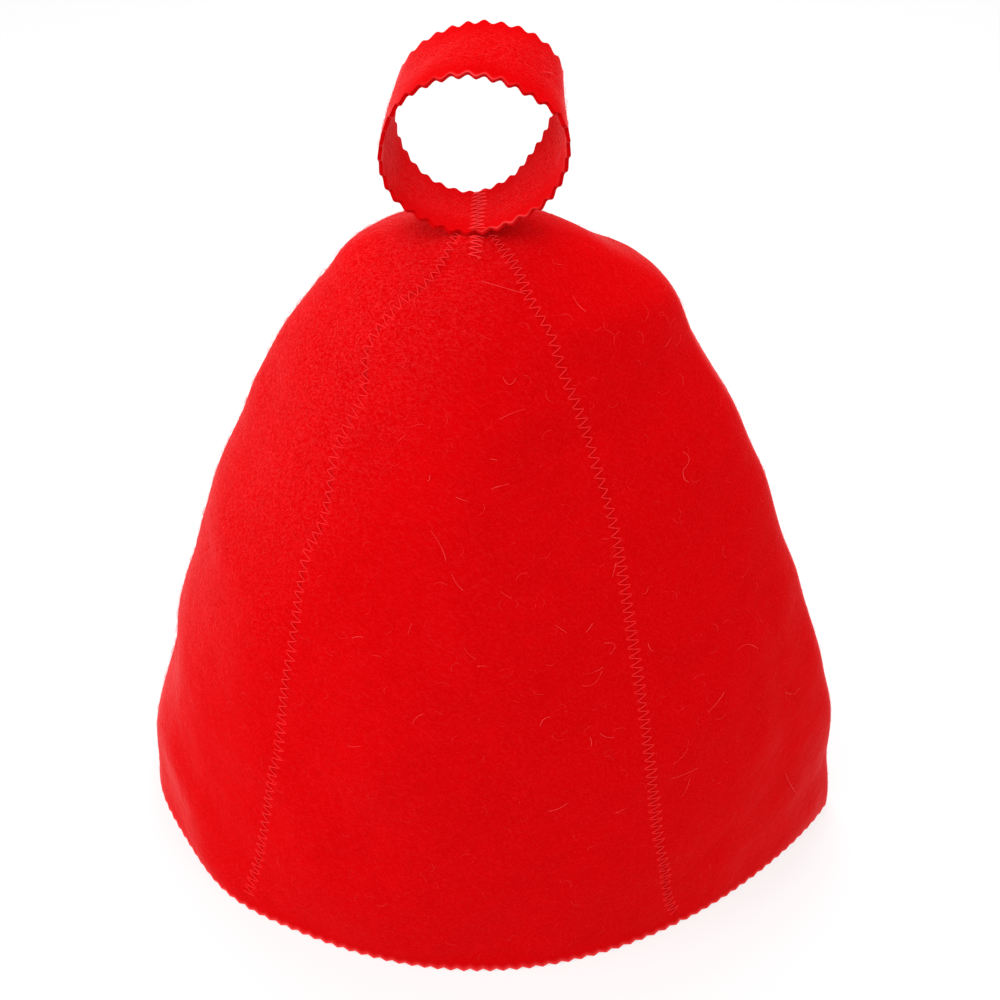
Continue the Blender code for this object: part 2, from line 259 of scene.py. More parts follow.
def section_points(station, angles):
    """Points round a section, with angles from the middle of the front to the right."""
    section = row_at(section_table, stations, station)
    sine = np.sin(angles)
    cosine = np.cos(angles)
    right = sine >= 0
    reach = np.where(right, section["right"], section["left"])
    full = np.where(right, section["right_full"], section["left_full"])
    x = (section["middle"] + reach * sine) * rim_width / 2
    bulge = np.sign(cosine) * np.abs(cosine) ** (2 / full)
    y = -section["depth"] * rim_depth / 2 * bulge
    flat = np.stack([x, y, np.full_like(x, section["up"] * crown_height)], axis=-1)
    around = (angles / (math.pi / 2) + 2) % 4 - 2
    push = fold_push(around, section["up"])
    spread = np.stack([sine / rim_width, -cosine / rim_depth, np.zeros_like(x)], axis=-1)
    return flat + unit(spread) * push[..., None]


# %% Measure the felt round a section
fine_angles = np.linspace(-math.pi, math.pi, 721)


class Ring:
    """One section, measured by the felt round it from the middle of the front."""

    def __init__(self, station):
        self.station = station
        walked = walk(section_points(station, fine_angles))
        self.walked = walked - walked[len(walked) // 2]
        quarter = len(fine_angles) // 4
        self.left = -self.walked[quarter]
        self.right = self.walked[3 * quarter]
        start, end = self.walked[0], self.walked[-1]
        self.total = end - start
        up = row_at(section_table, stations, station)["up"]
        share = row_at(seam_table, seam_table["up"], up)
        front_right = share["right"] * self.right
        back_right = end - share["back"] * (end - self.right)
        back_left = start + share["back"] * (-start - self.left)
        front_left = -share["left"] * self.left
        self.seams = {
            "front": (front_left, front_right),
            "right": (front_right, back_right),
            "back": (back_right, back_left + self.total),
            "left": (back_left, front_left),
        }

    def at(self, length):
        """Points at lengths round the section."""
        low = self.walked[0]
        length = (np.asarray(length) - low) % self.total + low
        return section_points(self.station, np.interp(length, self.walked, fine_angles))

    def places(self, gore, shares):
        """Lengths of shares across a gore, with half the seam gap at each side."""
        start, end = self.seams[gore]
        start = start + butt_gap / 2
        end = end - butt_gap / 2
        middle = {"right": self.right, "left": -self.left}.get(gore, (start + end) / 2)
        return np.where(
            shares < 0.5,
            start + (middle - start) * shares * 2,
            middle + (end - middle) * (shares * 2 - 1),
        )


print("rim", round(Ring(0.0).total * 1000), "mm round")

# %% [markdown]
# Wool felt is never quite flat. Soft waves and a rounded side fold set it apart from
# painted card, and a shallow groove shows where two edges butt under the thread. They are
# shapes, so they go into the mesh: a fine grid over each gore, moved along its normal. The
# rows lie closer together towards the tip.

# %% Fine grid of a gore
columns_per_tooth = 4
row_spacing = 0.003
row_crowding = 1.25
tooth_blend_rows = 5
fold_softening = 5
wave_seed = 11
wave_count = 26
shortest_wave = 0.014
longest_wave = 0.06
wave_height = 0.00042
tip_calm = 0.01
rim_calm = 0.006
groove_depth = 0.00025
groove_reach = 0.0009
tip_rounding = 0.05


def soft_waves(points):
    """Gentle unevenness: a sum of long waves in chance directions."""
    chance = np.random.default_rng(wave_seed)
    directions = unit(chance.normal(size=(wave_count, 3)))
    lengths = chance.uniform(shortest_wave, longest_wave, wave_count)
    phases = chance.uniform(0, 2 * math.pi, wave_count)
    turns = points @ (directions / lengths[:, None]).T * 2 * math.pi + phases
    weights = lengths / lengths.mean()
    return (np.sin(turns) * weights).sum(axis=-1) * wave_height / math.sqrt(wave_count / 2)


def tooth_profile(shares, teeth, first_tip=0.5):
    """0 at the tip of a tooth and 1 in a valley, slightly rounded."""
    past_tip = np.abs((shares * teeth - first_tip + 0.5) % 1.0 - 0.5) * 2
    return past_tip - tip_rounding * np.sin(2 * math.pi * past_tip)


def soften(points):
    """Ease the sharp turns of a grid along its rows, as at a fold of thick felt."""
    for _ in range(fold_softening):
        points[:, 1:-1] = (points[:, :-2] + 2 * points[:, 1:-1] + points[:, 2:]) / 4


def gore_grid(gore):
    """Outer points of a gore: rows from rim to tip, columns from seam to seam."""
    shares = np.linspace(0.0, 1.0, gore_teeth * columns_per_tooth + 1)
    tall = np.linspace(0.0, 1.0, int(felt_length / row_spacing) + 1)
    rows = 1.0 - (1.0 - tall) ** row_crowding
    rings = [Ring(station) for station in rows]
    points = np.array([ring.at(ring.places(gore, shares)) for ring in rings])
    soften(points)
    lift = tooth_profile(shares, gore_teeth) * rim_tooth_depth / (rows[1] * felt_length)
    count = len(rows)
    blend = np.clip(1 - np.arange(count) / tooth_blend_rows, 0, 1)
    wanted = np.arange(count)[:, None] + lift * blend[:, None]
    low = np.clip(wanted.astype(int), 0, count - 2)
    part = (wanted - low)[..., None]
    across = np.arange(len(shares))
    return points[low, across] * (1 - part) + points[low + 1, across] * part


def grid_normals(points):
    """Normals of a grid, outward where columns run to the right and rows run up."""
    return unit(np.cross(np.gradient(points, axis=1), np.gradient(points, axis=0)))


gore_names = ("front", "right", "back", "left")
gores = {name: gore_grid(name) for name in gore_names}
normals = {name: grid_normals(gores[name]) for name in gore_names}
neighbours = list(zip(gore_names, gore_names[1:] + gore_names[:1]))
for name, after in neighbours:
    shared = unit(normals[name][:, -1] + normals[after][:, 0])
    normals[name][:, -1] = shared
    normals[after][:, 0] = shared
print("grid of a gore", gores["front"].shape[:2])


# %% Lay waves and seam grooves on the grid
def seam_distance(points):
    """Length of felt from each point to the nearer seam of its gore."""
    walked = np.array([walk(row) for row in points])
    return np.minimum(walked, walked[:, -1:] - walked)


distances = {name: seam_distance(gores[name]) for name in gore_names}
for name in gore_names:
    below_tip = np.clip((crown_height - gores[name][..., 2]) / tip_calm, 0, 1)
    above_rim = np.clip(gores[name][..., 2] / rim_calm, 0, 1)
    groove = groove_depth * np.exp(-((distances[name] / groove_reach) ** 2))
    push = soft_waves(gores[name]) * below_tip * above_rim - groove * below_tip
    gores[name] = gores[name] + normals[name] * push[..., None]
print("widest seam distance", round(max(d.max() for d in distances.values()) * 1000), "mm")

# %% [markdown]
# The loop is sewn down hard, so its stitches draw the crown up against its foot. A crown
# left round would show daylight under the two ends of the strip.

# %% Draw the crown up to the loop
loop_strip_width = 0.0255
loop_rest_gap = 0.0003
foot_x = 0.0015
foot_reach = 0.006
foot_blend = 0.006
foot_touch = 0.0001


def drawn_up(points):
    """How far the stitches lift each point of the crown."""
    beside = np.exp(-(((points[..., 0] - foot_x) / foot_reach) ** 2))
    past_end = (np.abs(points[..., 1]) - loop_strip_width / 2) / foot_blend
    along = np.cos(np.clip(past_end, 0, 1) * math.pi) / 2 + 0.5
    below = crown_height + loop_rest_gap - foot_touch - points[..., 2]
    return beside * along * np.clip(below, 0, None)


for name in gore_names:
    gores[name][..., 2] += drawn_up(gores[name])
print("crown drawn up to", round(max(g[..., 2].max() for g in gores.values()) * 1000, 1), "mm")

# %% [markdown]
# A gore is a wall with two skins and cut faces between them. One helper turns two grids
# of points into such a closed mesh, marks the cut faces, and stores a number on every
# point for each further mark. The edge mark is 1 on the cut edge, where a pale line is
# painted as a highlight. The "nap" mark says how thick the nap grows: not at the rim, thin
# on most of the hat, and thickest high up and on the picture's left, the side the lamps
# light most. There the finish also paints the felt paler, a painted highlight.

# %% A closed wall from two skins
sharp_angle = math.radians(50)
least_nap = 0.15
lit_side_wear = 3.4
lit_top_wear = 4.2
lit_wear_offset = 3.5
nap_margin = 0.005


def wall_mesh(name, outer, inner, marks):
    """A closed mesh between two grids. marks: a pair of grids for each name."""
    rows, columns = outer.shape[:2]
    first = np.arange(rows * columns).reshape(rows, columns)
    second = first + rows * columns

    def quads(grid):
        corners = (grid[:-1, :-1], grid[:-1, 1:], grid[1:, 1:], grid[1:, :-1])
        return np.stack(corners, axis=-1).reshape(-1, 4)

    def strip(a, b):
        return np.stack([a[:-1], b[:-1], b[1:], a[1:]], axis=-1)

    faces = np.concatenate([
        quads(first),
        quads(second)[:, ::-1],
        strip(first[0], second[0]),
        strip(second[-1], first[-1]),
        strip(second[:, 0], first[:, 0]),
        strip(first[:, -1], second[:, -1]),
    ])
    mesh = bpy.data.meshes.new(name)
    points = np.concatenate([outer.reshape(-1, 3), inner.reshape(-1, 3)])
    mesh.from_pydata(points, [], faces.tolist())
    skin_faces = 2 * (rows - 1) * (columns - 1)
    cut = mesh.attributes.new("cut", "FLOAT", "FACE")
    cut.data.foreach_set("value", (np.arange(len(faces)) >= skin_faces).astype(float))
    for mark, values in marks.items():
        layer = mesh.attributes.new(mark, "FLOAT", "POINT")
        layer.data.foreach_set("value", np.concatenate([v.ravel() for v in values]))
    mesh.update()
    mesh.shade_smooth()
    mesh.set_sharp_from_angle(angle=sharp_angle)
    return add_object(name, mesh)


def make_felt_gore(name):
    outer = gores[name]
    inner = outer - normals[name] * felt_thickness
    soften(inner)
    inner[0, :, 2] = outer[0, :, 2]
    # The rim's cut edge gets a pale line, a painted highlight.
    edge_highlight = np.zeros(outer.shape[:2])
    edge_highlight[0] = 1.0
    # The nap grows thicker toward the lit left and the top. The finish paints the felt paler by it
    # there, a painted highlight.
    side = -outer[..., 0] / (rim_width / 2) * lit_side_wear
    top = outer[..., 2] / crown_height * lit_top_wear
    worn_and_lit = np.clip(side + top - lit_wear_offset, 0.0, 1.0)
    away = np.clip((outer[..., 2] - nap_margin) / nap_margin, 0.0, 1.0)
    nap = away * (least_nap + (1.0 - least_nap) * worn_and_lit)
    marks = {"edge_highlight": (edge_highlight, edge_highlight), "nap": (nap, nap * 0.0)}
    return wall_mesh("felt_" + name, outer, inner, marks)


felt = {name: make_felt_gore(name) for name in gore_names}
print("felt gore faces", len(felt["front"].data.polygons))

# %% [markdown]
# The loop is one strip of felt, pinked along both edges and bent into a ring. Its two
# edges don't follow the same curve, because felt twists as it bends, so each edge has its
# own places in a table, in even steps from the bottom round by the right side.

# %% The hanging loop
loop_width = 0.057
loop_height = 0.057
loop_thickness = 0.0012
loop_teeth = 34
loop_tooth_depth = 0.0020
loop_first_tip = 0.68
loop_end_gap = 0.00005
loop_rows = 16
loop_columns_per_tooth = 8
loop_blend_rows = 4
loop_waves = 0.5
loop_wave_crowding = 1.7
loop_wear = 0.7
loop_nap_start = 0.75
low_highlight_turn = 0.07
top_highlight_turn = 0.5
highlight_reach = 0.10
loop_columns = ("front_across", "front_up", "back_across", "back_up")
loop_edges = (
    (0.048, 0.000, 0.009, 0.000),
    (0.284, 0.080, 0.228, 0.110),
    (0.472, 0.240, 0.358, 0.306),
    (0.570, 0.482, 0.455, 0.525),
    (0.514, 0.706, 0.478, 0.768),
    (0.304, 0.850, 0.308, 0.948),
    (0.070, 0.900, 0.060, 1.001),
    (-0.166, 0.844, -0.172, 0.918),
    (-0.344, 0.696, -0.339, 0.736),
    (-0.428, 0.455, -0.424, 0.500),
    (-0.376, 0.216, -0.386, 0.256),
    (-0.191, 0.058, -0.224, 0.060),
)
loop_table = by_column(loop_columns, loop_edges)


def loop_edge(across, up, wanted):
    """Smooth closed curve through one edge of the loop table."""
    count = len(loop_edges)
    place = (np.asarray(wanted) % 1.0) * count
    i = np.floor(place).astype(int) % count
    t = place - np.floor(place)
    result = []
    for name, size in ((across, loop_width), (up, loop_height)):
        values = loop_table[name] * size
        p0, p1, p2, p3 = (values[(i + step) % count] for step in (-1, 0, 1, 2))
        bend = 2 * p0 - 5 * p1 + 4 * p2 - p3 + t * (3 * (p1 - p2) + p3 - p0)
        result.append(p1 + 0.5 * t * (p2 - p0 + t * bend))
    return result


def loop_point(turn, strip):
    """A point of the loop's outer face. strip: 0 at the front edge, 1 at the back."""
    front_x, front_z = loop_edge("front_across", "front_up", turn)
    back_x, back_z = loop_edge("back_across", "back_up", turn)
    x = front_x + (back_x - front_x) * strip
    y = (strip - 0.5) * loop_strip_width
    z = front_z + (back_z - front_z) * strip + crown_height + loop_rest_gap
    return np.stack([x, y, z], axis=-1)


fine_turns = np.linspace(0, 1, 361)
loop_walked = walk(loop_point(fine_turns, np.full_like(fine_turns, 0.5)))
strip_length = loop_walked[-1]


def make_felt_loop():
    shares = np.linspace(0.0, 1.0, loop_teeth * loop_columns_per_tooth + 1)
    lengths = loop_end_gap / 2 + shares * (strip_length - loop_end_gap)
    turns = np.interp(lengths, loop_walked, fine_turns)
    strips = np.linspace(0.0, 1.0, loop_rows + 1)
    cut = tooth_profile(shares, loop_teeth, loop_first_tip)
    cut = cut * loop_tooth_depth / loop_strip_width
    blend = np.clip(1 - np.arange(loop_rows + 1) / loop_blend_rows, 0, 1)
    strip = strips[:, None] + cut * (blend - blend[::-1])[:, None]
    turn = np.broadcast_to(turns, strip.shape)
    outer = loop_point(turn, strip)
    outward = -grid_normals(outer)
    waves = soft_waves(outer * loop_wave_crowding) * loop_waves
    outer = outer + outward * waves[..., None]
    inner = outer - outward * loop_thickness
    edge_highlight = np.zeros(outer.shape[:2])
    edge_highlight[0] = 1.0
    # Pale lines are painted on the strip's front edge at two places, painted highlights where that
    # edge catches the light.
    edge_highlights = [
        edge_highlight * np.exp(-(((turns - middle) / highlight_reach) ** 2))
        for middle in (low_highlight_turn, top_highlight_turn)
    ]
    from_edge = np.minimum(strip, 1.0 - strip) * loop_strip_width
    nap = np.clip(from_edge / nap_margin - loop_nap_start, 0.0, 1.0) * loop_wear
    return wall_mesh("felt_loop", inner, outer, {"edge_highlight": edge_highlights, "nap": (nap, nap)})


felt["loop"] = make_felt_loop()
print("loop strip", round(strip_length * 1000), "mm long")

# %% [markdown]
# Shader and geometry maths reads best as plain sums. A small class wraps a socket, so that
# an expression such as 1 - mask * 0.3 adds its Math nodes by itself. A second class makes
# every other node from its type, its settings and what goes into its sockets.


# %% Node helpers
class Wire:
    """A socket that can be used in sums with numbers and other wires."""

    def __init__(self, graph, socket):
        self.graph = graph
        self.socket = socket

    def __add__(self, other):
        return self.graph.maths("ADD", self, other)

    __radd__ = __add__

    def __sub__(self, other):
        return self.graph.maths("SUBTRACT", self, other)

    def __rsub__(self, other):
        return self.graph.maths("SUBTRACT", other, self)

    def __mul__(self, other):
        return self.graph.maths("MULTIPLY", self, other)

    __rmul__ = __mul__

    def __pow__(self, other):
        return self.graph.maths("POWER", self, other)


class Graph:
    """A node tree under construction."""

    def __init__(self, tree):
        self.tree = tree

    def feed(self, socket, value):
        if isinstance(value, Wire):
            self.tree.links.new(value.socket, socket)
        else:
            socket.default_value = value

    def node(self, kind, sockets=None, output=0, **settings):
        """Any node, with its settings and what goes into its sockets."""
        made = self.tree.nodes.new(kind)
        for key, value in settings.items():
            setattr(made, key, value)
        for key, value in (sockets or {}).items():
            self.feed(made.inputs[key], value)
        return Wire(self, made.outputs[output])

    def maths(self, operation, first, second=0.0):
        return self.node("ShaderNodeMath", {0: first, 1: second}, operation=operation)

    def noise(self, size, detail, place=None):
        """Noise whose blots are about size metres across."""
        sockets = {"Scale": 1.0 / size, "Detail": detail}
        if place is not None:
            sockets["Vector"] = place
        return self.node("ShaderNodeTexNoise", sockets)

    def between(self, value, low, high):
        """Stretch a value so that low becomes 0 and high becomes 1."""
        return self.node(
            "ShaderNodeMapRange", {"Value": value, "From Min": low, "From Max": high}
        )


class Finish(Graph):
    """A node material under construction."""

    def __init__(self, name):
        self.material = bpy.data.materials.new(name)
        self.material.use_nodes = True
        super().__init__(self.material.node_tree)
        self.shader = self.tree.nodes["Principled BSDF"]

    def set(self, **values):
        """Feed the shader's sockets, named with _ for a space."""
        for key, value in values.items():
            self.feed(self.shader.inputs[key.replace("_", " ")], value)

    def place(self):
        """Where a point lies on its own piece."""
        return self.node("ShaderNodeTexCoord", output="Object")

    def mark(self, name):
        """A number that the mesh stores."""
        return self.node("ShaderNodeAttribute", output="Fac", attribute_name=name)

    def blend(self, factor, first, second):
        """A colour between two colours."""
        colours = [c if isinstance(c, Wire) else (*c, 1.0) for c in (first, second)]
        return self.node(
            "ShaderNodeMix", {0: factor, 6: colours[0], 7: colours[1]}, 2, data_type="RGBA"
        )

    def bump(self, height, strength, distance, **more):
        sockets = {"Height": height, "Strength": strength, "Distance": distance, **more}
        return self.node("ShaderNodeBump", sockets)


print("node helpers ready")

# %% [markdown]
# Wool felt looks matt and deep, with a fine grain of matted fibres and a soft red bloom at
# grazing angles. Noise stretched in three directions stands for the fibres that cross each
# other, a fine noise for their clumps, and broader ones for patches and the uneven dye.
# The sheen of the shader gives the bloom. The cut faces are painted darker, a painted
# shade, and a thin pale line painted along the cut edges is a painted highlight. The fibre
# streaks are painted paler where the nap mark is high, high up and at the lit left, a
# painted highlight. Bloom and the painted shade of the cut faces are weaker on the loop.

# %% Felt finish
felt_deep = (0.54, 0.0002, 0.0010)
felt_red = (0.59, 0.0004, 0.0016)
felt_fibre = (0.86, 0.032, 0.037)
# The pale edge colour is a painted highlight.
felt_edge_highlight = (0.95, 0.080, 0.085)
# The dark cut colour is a painted shade.
felt_cut_shade = (0.38, 0.0006, 0.0014)
fibre_angles = (20, 84, 141)
fibre_tilt = 0.35
fibre_skew = 0.2
fibre_width = 0.00052
fibre_stretch = 5.0
fibre_range = (0.50, 0.74)
clump_size, clump_share = 0.0013, 0.40
patch_size, patch_share = 0.007, 0.35
dye_size, dye_share = 0.035, 0.25
shade_range = (0.38, 0.62)
streak_worn_and_lit = 0.45
streak_least = 0.06
edge_sharpness = 3.0
edge_highlight_share = 0.8
patch_bump, patch_height = 0.30, 0.0012
nap_bump, nap_height = 0.30, 0.0005
nap_bump_least = 0.25
bloom_roughness = 0.27
bloom_tint = (1.0, 0.18, 0.19, 1.0)
gore_bloom, gore_cut_shade = 1.0, 0.9
loop_bloom, loop_cut_shade = 0.95, 0.45


def fibre_layer(finish, place, degrees):
    """Streaks of noise that run one way over the felt."""
    turned = finish.node(
        "ShaderNodeMapping",
        {"Vector": place, "Rotation": (fibre_tilt, math.radians(degrees), fibre_skew),
         "Scale": (1.0, 1.0, fibre_stretch)},
        vector_type="TEXTURE",
    )
    return finish.between(finish.noise(fibre_width, 1.0, turned), *fibre_range)


def make_felt_finish(name, bloom, cut_shade_share):
    finish = Finish(name)
    place = finish.place()
    fibres = [fibre_layer(finish, place, degrees) for degrees in fibre_angles]
    streaks = (fibres[0] + fibres[1] + fibres[2]) * 0.5
    clumps = finish.noise(clump_size, 2.0, place)
    patches = finish.noise(patch_size, 3.0, place)
    dye = finish.noise(dye_size, 2.0, place)
    worn_and_lit = finish.mark("nap")
    shade = clumps * clump_share + patches * patch_share + dye * dye_share
    colour = finish.blend(finish.between(shade, *shade_range), felt_deep, felt_red)
    # Fibre streaks turn paler where the nap mark is high, high up and at the lit left: a painted
    # highlight.
    colour = finish.blend(streaks * (worn_and_lit * streak_worn_and_lit + streak_least), colour, felt_fibre)
    # A pale line painted along the cut edges: a painted highlight.
    painted_edge_highlight = finish.mark("edge_highlight") ** edge_sharpness * edge_highlight_share
    colour = finish.blend(painted_edge_highlight, colour, felt_edge_highlight)
    # The cut faces are painted darker: a painted shade.
    colour = finish.blend(finish.mark("cut") * cut_shade_share, colour, felt_cut_shade)
    grain = (clumps * 0.5 + streaks) * (worn_and_lit + nap_bump_least)
    rough = finish.bump(patches, patch_bump, patch_height)
    finish.set(
        Base_Color=colour, Normal=finish.bump(grain, nap_bump, nap_height, Normal=rough),
        Roughness=0.95, Specular_IOR_Level=0.0,
        Sheen_Weight=bloom, Sheen_Roughness=bloom_roughness, Sheen_Tint=bloom_tint,
    )
    return finish.material


gore_finish = make_felt_finish("wool_felt", gore_bloom, gore_cut_shade)
loop_finish = make_felt_finish("loop_wool_felt", loop_bloom, loop_cut_shade)
for name, piece in felt.items():
    piece.data.materials.append(loop_finish if name == "loop" else gore_finish)
print("felt finish on", len(felt), "pieces")

# %% [markdown]
# The thread is a fine red polyester, a little lighter and shinier than the wool, and paler
# still where it holds the loop. Its twist of two plies is drawn as fine blots. Wool fibres
# that stand on their own took less dye, so they are paler than the felt. The nap is painted
# paler still where it stands thick, high up and at the lit left, a painted highlight.

# %% Thread and wool finishes
strand_columns = ("name", "plain", "pale", "blot", "low", "high", "roughness", "shine")
strand_looks = (
    ("seam_thread", (0.72, 0.004, 0.007), (0.88, 0.014, 0.018), 0.0004, 0.00, 1.00, 0.6, 0.15),
    ("hold_thread", (0.80, 0.010, 0.014), (0.92, 0.038, 0.042), 0.0004, 0.00, 1.00, 0.6, 0.15),
    ("stray_wool", (0.90, 0.022, 0.027), (0.96, 0.080, 0.085), 0.0060, 0.35, 0.65, 0.8, 0.05),
    ("tangled_wool", (0.90, 0.010, 0.014), (0.95, 0.035, 0.040), 0.0060, 0.35, 0.65, 0.8, 0.05),
    ("wool_nap", (0.84, 0.003, 0.005), (0.93, 0.045, 0.050), 0.0015, 0.40, 0.60, 0.8, 0.05),
)
ply_bump, ply_height = 0.5, 0.0001


def make_strand_finish(name, plain, pale, blot, low, high, roughness, shine):
    """Strands with pale blots. The nap is pale only where it stands thick, a painted highlight."""
    finish = Finish(name)
    blots = finish.noise(blot, 1.0, finish.place())
    share = finish.between(blots, low, high)
    # The nap is painted paler where it stands thick, high up and at the lit left: a painted
    # highlight.
    if name == "wool_nap":
        share = share * finish.between(finish.mark("nap"), least_nap, 1.0)
    if "thread" in name:
        finish.set(Normal=finish.bump(blots, ply_bump, ply_height))
    colour = finish.blend(share, plain, pale)
    finish.set(Base_Color=colour, Roughness=roughness, Specular_IOR_Level=shine)
    return finish.material


strands = {
    look["name"]: make_strand_finish(**look) for look in named_rows(strand_columns, strand_looks)
}
print("finishes", *strands)

# %% [markdown]
# A zigzag stitch is the same short piece of thread again and again along a path, which is
# what Geometry Nodes are for. Each point of the path stores the felt's normal and the
# direction across the seam. The tree moves it to its side of the zigzag, lets the thread
# lie on the felt and dip at the needle holes, and sweeps a small round section along it.
# By chance some stitches are a little wider, and some sink deeper.

# %% Zigzag stitch tree
points_per_stroke = 6
arch_fullness = 0.6
chance_size = 0.009
chance_range = (0.36, 0.64)
narrowest = 0.7
spread_by_chance = 0.6


class Steps(Graph):
    """A geometry tree with named inputs, which its given wires bring in."""

    def __init__(self, name, inputs):
        super().__init__(bpy.data.node_groups.new(name, "GeometryNodeTree"))
        ends = self.tree.interface
        for label, kind in (("Geometry", "Geometry"), *inputs):
            ends.new_socket(label, in_out="INPUT", socket_type="NodeSocket" + kind)
        ends.new_socket("Geometry", in_out="OUTPUT", socket_type="NodeSocketGeometry")
        outputs = self.tree.nodes.new("NodeGroupInput").outputs
        self.given = {socket.name: Wire(self, socket) for socket in outputs}
        self.end = self.tree.nodes.new("NodeGroupOutput").inputs["Geometry"]

    def vector(self, operation, first, second):
        return self.node("ShaderNodeVectorMath", {0: first, 1: second}, operation=operation)

    def named(self, name, kind="FLOAT_VECTOR"):
        return self.node("GeometryNodeInputNamedAttribute", {"Name": name}, data_type=kind)

    def swept(self, path, radius, sides):
        """A round section of so many sides along a path, with closed ends."""
        section = self.node(
            "GeometryNodeCurvePrimitiveCircle", {"Resolution": sides, "Radius": radius},
            mode="RADIUS",
        )
        return self.node(
            "GeometryNodeCurveToMesh",
            {"Curve": path, "Profile Curve": section, "Fill Caps": True},
        )

    def finish(self, shape):
        """End the tree: plain geometry with its material."""
        real = self.node("GeometryNodeRealizeInstances", {"Geometry": shape})
        dressed = self.node(
            "GeometryNodeSetMaterial", {"Geometry": real, "Material": self.given["Material"]}
        )
        self.feed(self.end, dressed)
        return self.tree


def zigzag_tree():
    steps = Steps("zigzag_stitch", (
        ("Stitch width", "Float"), ("Rise over the felt", "Float"),
        ("Dip at the holes", "Float"), ("Hollow of the felt", "Float"),
        ("Sink by chance", "Float"), ("Thread radius", "Float"), ("Material", "Material"),
    ))
    given = steps.given
    index = steps.node("GeometryNodeInputIndex")
    side = steps.maths("PINGPONG", steps.maths("DIVIDE", index, float(points_per_stroke)), 1.0)
    across = (side - 0.5) * given["Stitch width"]
    arch = steps.maths("MAXIMUM", steps.maths("SINE", side * math.pi), 0.0) ** arch_fullness
    dip = given["Dip at the holes"]
    lift = arch * (given["Rise over the felt"] + dip) - dip
    lift = lift + across * across * given["Hollow of the felt"]
    chance = steps.between(steps.noise(chance_size, 1.0), *chance_range)
    lift = lift - chance * given["Sink by chance"]
    across = across * (chance * spread_by_chance + narrowest)
    sideways = steps.vector("MULTIPLY", steps.named("across"), across)
    outwards = steps.vector("MULTIPLY", steps.named("out"), lift)
    moved = steps.node("GeometryNodeSetPosition", {
        "Geometry": given["Geometry"], "Offset": steps.vector("ADD", sideways, outwards),
    })
    path = steps.node("GeometryNodeMeshToCurve", {"Mesh": moved})
    return steps.finish(steps.swept(path, given["Thread radius"], 6))


stitch_tree = zigzag_tree()
print("stitch tree inputs", len(stitch_tree.interface.items_tree) - 2)


# %% Run a tree and keep the plain result
def grow(name, mesh, tree, values):
    """Run a tree on a mesh and return a plain object."""
    base = add_object(name + "_base", mesh)
    modifier = base.modifiers.new("grow", "NODES")
    modifier.node_group = tree
    for item in tree.interface.items_tree:
        if item.in_out == "INPUT" and item.name in values:
            modifier[item.identifier] = values[item.name]
    seen = base.evaluated_get(bpy.context.evaluated_depsgraph_get())
    made = bpy.data.meshes.new_from_object(seen)
    made.name = name
    bpy.data.objects.remove(base, do_unlink=True)
    made.shade_smooth()
    return add_object(name, made)


def path_mesh(name, paths, marks=None):
    """Rows of points joined by edges, with named vectors stored on them."""
    edges = []
    start = 0
    for path in paths:
        edges += [(start + i, start + i + 1) for i in range(len(path) - 1)]
        start += len(path)
    mesh = bpy.data.meshes.new(name)
    mesh.from_pydata(np.concatenate(paths), edges, [])
    for label, values in (marks or {}).items():
        layer = mesh.attributes.new(label, "FLOAT_VECTOR", "POINT")
        layer.data.foreach_set("vector", values.astype(np.float32).ravel())
    return mesh


# %% [markdown]
# A seam's path runs from the rim to the tip. The stitches narrow all the way up, and get
# closer together over the last few centimetres, where bulky felt feeds badly. Those at the
# picture's left are longer, wider and deeper in the felt than those at its right.

# %% Stitches along the four seams
stitch_columns = (
    "Period", "Stitch width", "Narrowing", "Closing",
    "Sink by chance", "Rise over the felt", "Hollow of the felt",
)
stitch_sizes = {
    "left": (0.0042, 0.0062, 0.38, 0.5, 0.00034, 0.00026, 0.0),
    "right": (0.0037, 0.0054, 0.38, 0.5, 0.00020, 0.00026, 0.0),
    "loop": (0.0022, 0.0063, 0.0, 0.0, 0.0, 0.0003, 1 / loop_height),
    "crown": (0.0018, 0.0037, 0.0, 0.0, 0.0, 0.0003, 0.0),
}
stitch_dip = 0.00018
thread_radius = 0.00019
closing_reach = 0.045
seam_start = 0.004
seam_end = 0.0075


def stitch_path(points, out, period, closing):
    """Points along a path, closer near its end, with normals and sideways directions."""
    walked = walk(points)
    near_end = np.clip(1 - (walked[-1] - walked) / closing_reach, 0, 1)
    spacings = period / 2 / points_per_stroke * (1 - closing * near_end)
    counted = np.concatenate(
        [[0.0], np.cumsum(2 * np.diff(walked) / (spacings[1:] + spacings[:-1]))]
    )
    wanted = np.interp(np.arange(0.0, counted[-1]), counted, walked)
    even, normal = (
        np.stack([np.interp(wanted, walked, values[:, k]) for k in range(3)], axis=1)
        for values in (points, out)
    )
    normal = unit(normal)
    return even, normal, unit(np.cross(np.gradient(even, axis=0), normal))


def sew(name, kind, thread, points, out):
    """A zigzag of thread along a path on the felt, with the sizes of its kind."""
    sizes = dict(zip(stitch_columns, stitch_sizes[kind]))
    even, normal, across = stitch_path(points, out, sizes["Period"], sizes["Closing"])
    across = across * (1.0 - sizes["Narrowing"] * np.linspace(0.0, 1.0, len(even))[:, None])
    mesh = path_mesh("stitches_" + name, [even], {"out": normal, "across": across})
    return grow("stitches_" + name, mesh, stitch_tree, {
        **sizes, "Dip at the holes": stitch_dip, "Thread radius": thread_radius,
        "Material": strands[thread],
    })


